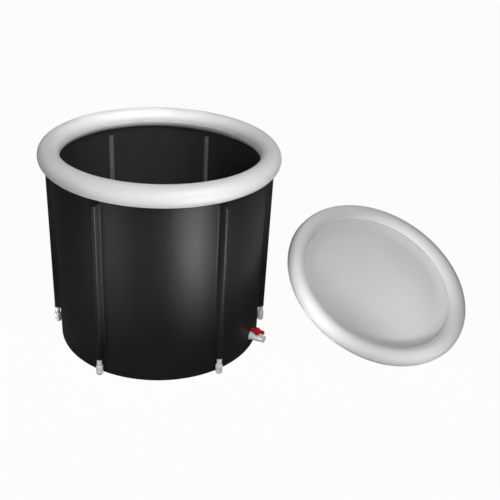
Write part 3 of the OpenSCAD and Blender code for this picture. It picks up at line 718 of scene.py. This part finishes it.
class TUB_OT_feet(bpy.types.Operator):
    """Makes the six foot caps"""
    bl_idname = "tub.feet"
    bl_label = "Foot caps"

    def execute(self, context):
        r = (FOOT[1].y - FOOT[0].y) / 2
        top, floor = FOOT[1].z, POLE[0].z
        bore = POLE_R + 0.0001
        lip, shoulder, taper = 0.0009, 0.0042, 0.0009
        # From the socket's floor up and over the lip, down the sloped shoulder and the slightly tapered body
        profile = eased([(0, floor), (bore, floor), (bore, top - 0.0008), (bore + lip, top),
                         (r, top - shoulder), (r, top - 0.0095), (r - 0.0005, top - 0.0105),
                         (r - taper, 0.004), (r - 0.0035, 0), (0, 0)],
                        [0, 0.0003, 0.0006, 0.0012, 0.0016, 0.0008, 0.0008, 0.003, 0.002, 0], 6, closed=False)
        for k, a in enumerate(POLE_ANGLES):
            place = Matrix.Translation((POLE_X * math.cos(a), POLE_X * math.sin(a), 0))
            made = turned_shell(profile, 64, False, place=place)
            build(f"foot_{k + 1}", [made], "tub", "white_plastic", [f"foot_cap_{k + 1}"])
        return {"FINISHED"}


# The drain valve, in its own frame: Z runs out of the wall along the pipe, X is up


def drain_frame():
    """The valve's frame: the origin on the tub's axis at the valve's height, Z outwards, X upwards."""
    return frame_at((0, 0, OUTLET["pos_m"][2]), OUTLET["axis"], (0, 0, 1))


class TUB_OT_valve(bpy.types.Operator):
    """Makes the drain valve's body, outlet end and handle"""
    bl_idname = "tub.valve"
    bl_label = "Drain valve"

    def execute(self, context):
        place = drain_frame()
        stem = math.hypot(*DRAIN["pos_m"][:2])
        mid = math.hypot(*OUTLET["pos_m"][:2])
        half = OUTLET["dims"]["length_mm"] / 2000
        bore = OUTLET["dims"]["r_mm"] / 1000
        inlet = bore + 0.0004
        length, body_r, end_r = 0.036, 0.0135, 0.0127
        chamber_r, water_r = 0.01, 0.006
        end, start = mid + half, mid - half
        body_end = start - 0.0003
        body_start = body_end - length
        web = body_start + 0.009
        outer = [(0.0128, body_start), (body_r, body_start + 0.001), (body_r, body_start + 0.0085),
                 (end_r, body_start + 0.0095), (end_r, body_start + 0.011), (body_r, body_start + 0.012),
                 (body_r, body_end - 0.0012), (0.013, body_end)]
        inner = [(chamber_r, body_end), (chamber_r, web + 0.003), (water_r, web + 0.003), (water_r, web),
                 (inlet, web), (inlet, body_start)]
        shells = [turned_shell(eased(outer + inner, 0.0005, 4), 96, True, place=place)]
        low = place @ Vector((0, 0, stem))
        boss_place = frame_at(low, (0, 0, 1), OUTLET["axis"])
        stem_r = 0.0041
        boss = eased([(stem_r, 0.0115), (0.0078, 0.0115), (0.0072, 0.0138), (0.007, 0.017), (stem_r, 0.017)],
                     [0, 0, 0.001, 0.0006, 0.0003], 4)
        shells.append(turned_shell(boss, 64, True, place=boss_place))
        build("valve_housing", shells, "tub", "white_plastic", ["valve_body"])

        groove_r = 0.0119
        outer = [(0.012, body_end + 0.0001), (end_r, body_end + 0.0008), (end_r, body_end + 0.0042),
                 (groove_r, body_end + 0.005), (groove_r, end - 0.0055), (end_r, end - 0.0045),
                 (end_r, end - 0.001), (0.0122, end)]
        inner = [(bore, end), (bore, start), (water_r, start), (water_r, body_end + 0.0001)]
        spigot_r = 0.0099
        spigot = eased([(water_r, body_end - 0.005), (spigot_r, body_end - 0.005),
                        (spigot_r, body_end + 0.0003), (water_r, body_end + 0.0003)], 0.0003, 3)
        build("valve_outlet", [turned_shell(eased(outer + inner, 0.0005, 4), 96, True, place=place),
                               turned_shell(spigot, 64, True, place=place)],
              "tub", "white_plastic", ["valve_end"])
        self.handle(boss_place)
        return {"FINISHED"}

    def handle(self, place):
        """The hub is a turned profile. Each wing is a rounded box carried outwards.

        Across, the wing is a superellipse. Its half thickness grows evenly to the tip, its top falls, and the
        tip closes on a quarter of an ellipse.
        """
        skirt_r, hub_r, bore, screw_r = 0.0073, 0.0093, 0.0041, 0.0038
        hub = eased([(skirt_r, 0.0138), (hub_r, 0.0138), (hub_r, 0.0372), (0.0088, 0.038), (0.0042, 0.038),
                     (screw_r, 0.0376), (screw_r, 0.035), (bore, 0.0348), (bore, 0.0173), (skirt_r, 0.0173)],
                    [0.0004, 0.0008, 0.0008, 0.0008, 0.0004, 0.0003, 0.0003, 0, 0, 0.0005], 4)
        shells = [turned_shell(hub, 72, True, place=place)]
        root, tip, round_tip, blunt = 0.0025, 0.0285, 0.0045, 0.35
        along = np.concatenate([np.linspace(root, tip - round_tip, 24),
                                tip - round_tip + round_tip * np.sin(np.linspace(0, np.pi / 2, 10)[1:])])
        share = (along - root) / (tip - root)
        shrink = np.sqrt(np.clip(1 - np.clip((along - (tip - round_tip)) / round_tip, 0, 1) ** 2, 0, 1))
        thick = (0.003 + 0.0015 * share) * np.maximum(shrink, 1e-3)
        upper = 0.0366 - 0.0026 * share ** 1.3
        lower = 0.02 + 0.0012 * np.exp(-((share - 0.35) / 0.2) ** 2)
        middle = (upper + lower) / 2
        tall = (upper - lower) / 2 * (0.94 + 0.06 * shrink) * np.maximum(shrink, 0.75)
        v = turns(48)[:, None]
        wide, high = (np.sign(c) * np.abs(c) ** blunt for c in (np.cos(v), np.sin(v)))
        for side in (1, -1):
            grid = np.stack([side * along + 0 * v, thick * wide, middle + tall * high], -1)
            ends = [np.repeat(grid[:, [c]].mean(0, keepdims=True), len(grid), 0) for c in (0, -1)]
            grid = np.concatenate([ends[0], grid, ends[1]], 1)
            shells.append(shell(moved(grid, place), True, False))
        build("tap_handle", shells, "drain_handle", "red_plastic", ["valve_handle"])


# The lid


def lid_frame():
    """The lid's centre and pose, worked out from its ring's box.

    Along each axis the ring reaches R sqrt(1 - n^2) + r from its centre, where n is that part of its normal,
    r the tube's radius and R the centre line's. The three squares add up to 2 R^2, which gives R and then n.
    """
    tube = bpy.context.scene.lid_sizes.tube
    middle = (LID[0] + LID[1]) / 2
    reach = [(LID[1][k] - LID[0][k]) / 2 - tube for k in range(3)]
    major = math.sqrt(sum(c * c for c in reach) / 2)
    normal = [math.sqrt(max(0, 1 - (c / major) ** 2)) for c in reach]
    normal[1] = -normal[1]
    return frame_at(middle, normal, (normal[0], normal[1], -1)), major


class TUB_OT_lid(bpy.types.Operator):
    """Makes the lid's inflated ring and its dished panel"""
    bl_idname = "tub.lid"
    bl_label = "Lid"

    def execute(self, context):
        sizes, tub = context.scene.lid_sizes, context.scene.tub_sizes
        place, major = lid_frame()
        weld = tub.weld * 0.6
        tube = inflated_ring(major, sizes.tube - CLEAR, [math.pi, 0], weld, tub.ripple, place)
        ring = build("lid_tube", [tube], "lid", "white_film", ["lid_ring"])

        edge = major - sizes.tube - CLEAR
        inner = edge - sizes.band
        half = sizes.foam / 2
        low = inner + 0.0003
        band = eased([(edge, -half), (edge, half), (low, half), (low, -half)], 0.0004, 3)
        filler = build("lid_band", [turned_shell(band, TURN_PLAIN, True, place=place)], "lid", "white_film",
                       ["lid_weld_band"])
        shape = self.shape(inner, tub.ripple)
        for side, name, node in ((1, "lid_face", "lid_top_sheet"), (-1, "lid_back", "lid_bottom_sheet")):
            far, near = (half + sizes.sheet, half) if side > 0 else (-half, -half - sizes.sheet)
            profile = np.concatenate([self.line(edge, inner, far, sizes)[::-1],
                                      self.line(edge, inner, near, sizes)])
            made = build(name, [turned_shell(profile, TURN_RING, False, shape, place)], "lid", "lid_sheet",
                         [node])
        upper, lower = (self.line(inner - 0.0004, inner, lift, sizes)[1:]
                        for lift in (half - 0.0001, 0.0001 - half))
        pad = turned_shell(np.concatenate([upper[::-1], lower]), TURN_RING, False, shape, place)
        core = build("lid_foam", [pad], "lid", "foam", ["lid_panel_foam"])
        return {"FINISHED"}

    def line(self, edge, inner, lift, sizes):
        """The panel's line from rim to middle: a level band, a small step, a quarter wave down, a level."""
        share = np.linspace(0, 1, 25)[1:]
        fade, middle_steps = 0.008, 30
        x = inner - sizes.border * share
        drop = sizes.depth * np.sin(np.pi / 2 * share) + sizes.step * np.exp((x - inner) / fade)
        border = np.stack([x, lift - drop], 1)
        step = np.array([[inner, lift - 0.0001], [inner - 0.0006, lift - sizes.step]])
        flat = np.stack([np.linspace(x[-1], 0, middle_steps)[1:],
                         np.full(middle_steps - 1, lift - sizes.depth)], 1)
        return np.concatenate([[[edge, lift], [inner + 0.0012, lift]], step, border, flat])

    def shape(self, inner, ripple):
        """Radial puckers inside the weld that die away over 30 mm, and a slow unevenness of the panel."""
        start, fade, slow_by = 0.004, 0.03, 0.0004

        def shape(t, r, z):
            near = np.exp(-np.clip(inner - r, 0, None) / fade) * np.clip((inner - r) / start, 0, 1)
            level = ripple * near * waves(t, [(48, 0.5), (77, 0.3), (31, 0.4)])
            slow = slow_by * waves(t, [(2, 0.5), (5, 0.5)]) * np.sin(np.pi * np.clip(r / inner, 0, 1))
            return r, z + level + slow

        return shape


# Carried-over solids


class TUB_OT_finishes(bpy.types.Operator):
    """Gives every solid that stays its own finish"""
    bl_idname = "tub.finishes"
    bl_label = "Finishes"

    def execute(self, context):
        done = finishes()
        slots = {p["node"]: p["material_slot"] for p in frame["record"]["subparts"]}
        for name, solid in frame["nodes"].items():
            solid.data.materials.clear()
            solid.data.materials.append(done[slots[name]])
        return {"FINISHED"}


# The stage


class TUB_OT_stage(bpy.types.Operator):
    """Makes the floor, the light and the camera"""
    bl_idname = "tub.stage"
    bl_label = "Stage"

    def execute(self, context):
        self.floor(context)
        self.lights(context)
        self.room(context)
        self.camera(context)
        return {"FINISHED"}

    def floor(self, context):
        """A wide pale floor. The camera sees it lifted towards white, and light falls on it as usual."""
        reach, lifted = 30.0, 0.97
        mesh = bpy.data.meshes.new("floor")
        mesh.from_pydata([(-reach, -reach, 0), (reach, -reach, 0), (reach, reach, 0), (-reach, reach, 0)], [],
                         [(0, 1, 2, 3)])
        made, tree, at = new_material("Pale studio floor, painted")
        cloud = add(tree, "ShaderNodeTexNoise", {"Vector": at["Object"], "Scale": 0.6})
        tint = add(tree, "ShaderNodeMix", {
            "Factor": cloud["Fac"], "A": srgb("#8b8b8b"), "B": srgb("#939393")}, data_type="RGBA")
        paint = add(tree, "ShaderNodeBsdfDiffuse", {"Color": tint["Result"]})
        glow = add(tree, "ShaderNodeEmission", {"Color": srgb("#ffffff"), "Strength": 1.0})
        path = add(tree, "ShaderNodeLightPath")
        share = add(tree, "ShaderNodeMath", {0: path["Is Camera Ray"], 1: lifted}, operation="MULTIPLY")
        mix = add(tree, "ShaderNodeMixShader", {0: share["Value"], 1: paint["BSDF"], 2: glow["Emission"]})
        add(tree, "ShaderNodeOutputMaterial", {"Surface": mix["Shader"]})
        mesh.materials.append(made)
        floor = bpy.data.objects.new("floor", mesh)
        context.scene.collection.objects.link(floor)

    def lights(self, context):
        """Softboxes with grids: a key high on the right, two fills, two beams from above for the inside and
        the ring's back, two low strips that the black wall mirrors and one for the front left sleeve, two
        along the floor for the feet, and four for the lid.

        Each has its name, place, aim, width, height, watts and the angle of its grid in degrees.
        """
        for name, place, aim, wide, tall, watts, spread in (
                ("key", (1.3, -1.9, 2.9), (-0.05, 0, 0.65), 1.2, 1.2, 4.8, 44),
                ("front_high", (-0.3, -2.9, 2.2), (-0.05, -0.3, 0.7), 1.0, 1.0, 0.5, 30),
                ("tub_left", (-2.4, -1.2, 0.9), (-0.2, -0.2, 0.4), 1.2, 1.2, 1.0, 30),
                ("inside", (0.45, -0.7, 2.4), (-0.1, 0.36, 0.42), 0.4, 0.4, 0.25, 20),
                ("ring_back", (-0.1, -1.0, 2.7), (-0.15, 0.38, 0.72), 0.5, 0.5, 0.33, 22),
                ("strip", (0.6, -1.1, 0.16), (0.12, -0.36, 0.5), 0.4, 0.25, 0.7, 46),
                ("strip_left", (-1.05, -1.05, 0.16), (-0.2, -0.33, 0.4), 0.5, 0.25, 0.22, 40),
                ("sleeve_left", (0.45, -1.05, 0.25), (-0.2, -0.33, 0.44), 0.1, 0.5, 0.16, 14),
                ("feet", (0.0, -1.6, 0.06), (0.0, -0.38, 0.0), 1.2, 0.08, 0.16, 20),
                ("foot_left", (-1.5, -0.5, 0.1), (-0.39, 0.0, 0.02), 0.3, 0.1, 0.12, 14),
                ("lid_left", (-0.08, -0.82, 0.36), (0.84, -0.04, 0.19), 0.25, 0.25, 0.4, 42),
                ("lid_side", (0.0, -0.75, 0.95), (0.5, -0.12, 0.22), 0.2, 0.2, 0.022, 20),
                ("lid_right", (1.0, -1.4, 0.3), (1.0, -0.1, 0.12), 0.3, 0.25, 0.38, 30),
                ("lid_back", (0.7, 1.0, 1.6), (0.84, 0, 0.18), 0.6, 0.6, 0.3, 30)):
            lamp = bpy.data.lights.new(name, "AREA")
            lamp.shape, lamp.size, lamp.size_y, lamp.energy = "RECTANGLE", wide, tall, watts
            lamp.spread = math.radians(spread)
            made = bpy.data.objects.new(name, lamp)
            made.location = place
            made.rotation_euler = (Vector(aim) - Vector(place)).to_track_quat("-Z", "Y").to_euler()
            made.visible_camera = False
            context.scene.collection.objects.link(made)

    def room(self, context):
        """The room's own soft light. The camera sees plain white."""
        world = bpy.data.worlds.new("Pale studio")
        world.use_nodes = True
        tree = world.node_tree
        tree.nodes.clear()
        path = add(tree, "ShaderNodeLightPath")
        dim = add(tree, "ShaderNodeBackground", {"Color": srgb("#f4f4f4"), "Strength": 0.15})
        white = add(tree, "ShaderNodeBackground", {"Color": srgb("#ffffff"), "Strength": 1.0})
        mix = add(tree, "ShaderNodeMixShader", {
            0: path["Is Camera Ray"], 1: dim["Background"], 2: white["Background"]})
        add(tree, "ShaderNodeOutputWorld", {"Surface": mix["Shader"]})
        context.scene.world = world

    def camera(self, context):
        """The photograph's view: 54 mm on a 36 mm sensor, looking down by 28 degrees and rolled by 4."""
        lens = bpy.data.cameras.new("camera")
        lens.lens, lens.sensor_width = 54.02, 36.0
        lens.clip_start, lens.clip_end = 0.05, 100.0
        made = bpy.data.objects.new("camera", lens)
        spot = (-0.02201, -2.47954, 1.63661)
        yaw, pitch, roll = (math.radians(a) for a in (8.153, 27.836, 3.791))
        ahead = Vector((math.sin(yaw) * math.cos(pitch), math.cos(yaw) * math.cos(pitch), -math.sin(pitch)))
        right = Vector((math.cos(yaw), -math.sin(yaw), 0))
        up = right.cross(ahead)
        right, up = (math.cos(roll) * right + math.sin(roll) * up,
                     math.cos(roll) * up - math.sin(roll) * right)
        turn = Matrix((right, up, -ahead)).transposed().to_4x4()
        made.matrix_world = Matrix.Translation(spot) @ turn
        context.scene.collection.objects.link(made)
        context.scene.camera = made
        context.scene.view_settings.view_transform = "Standard"


class TUB_PT_panel(bpy.types.Panel):
    """Lists the tub's sizes, colours and pieces"""
    bl_idname = "TUB_PT_panel"
    bl_label = "Cold plunge tub"
    bl_space_type = "VIEW_3D"
    bl_region_type = "UI"
    bl_category = "Cold plunge tub"

    def draw(self, context):
        column = self.layout.column()
        for group in (context.scene.tub_sizes, context.scene.lid_sizes, context.scene.tub_colours):
            for name in group.bl_rna.properties.keys():
                if name not in ("rna_type", "name"):
                    column.prop(group, name)
        for step in STEPS:
            column.operator(step.bl_idname)


STEPS = (TUB_OT_finishes, TUB_OT_wall, TUB_OT_rim, TUB_OT_sleeves, TUB_OT_feet, TUB_OT_valve, TUB_OT_lid,
         TUB_OT_stage)
GROUPS = {"tub_sizes": TubSizes, "lid_sizes": LidSizes, "tub_colours": TubColours}
CLASSES = (*GROUPS.values(), *STEPS, TUB_PT_panel)


def register():
    for kind in CLASSES:
        bpy.utils.register_class(kind)
    for name, kind in GROUPS.items():
        setattr(bpy.types.Scene, name, bpy.props.PointerProperty(type=kind))


def unregister():
    for name in GROUPS:
        delattr(bpy.types.Scene, name)
    for kind in reversed(CLASSES):
        bpy.utils.unregister_class(kind)


def main():
    register()
    for step in STEPS:
        group, name = step.bl_idname.split(".")
        getattr(getattr(bpy.ops, group), name)()


if __name__ == "__main__":
    main()
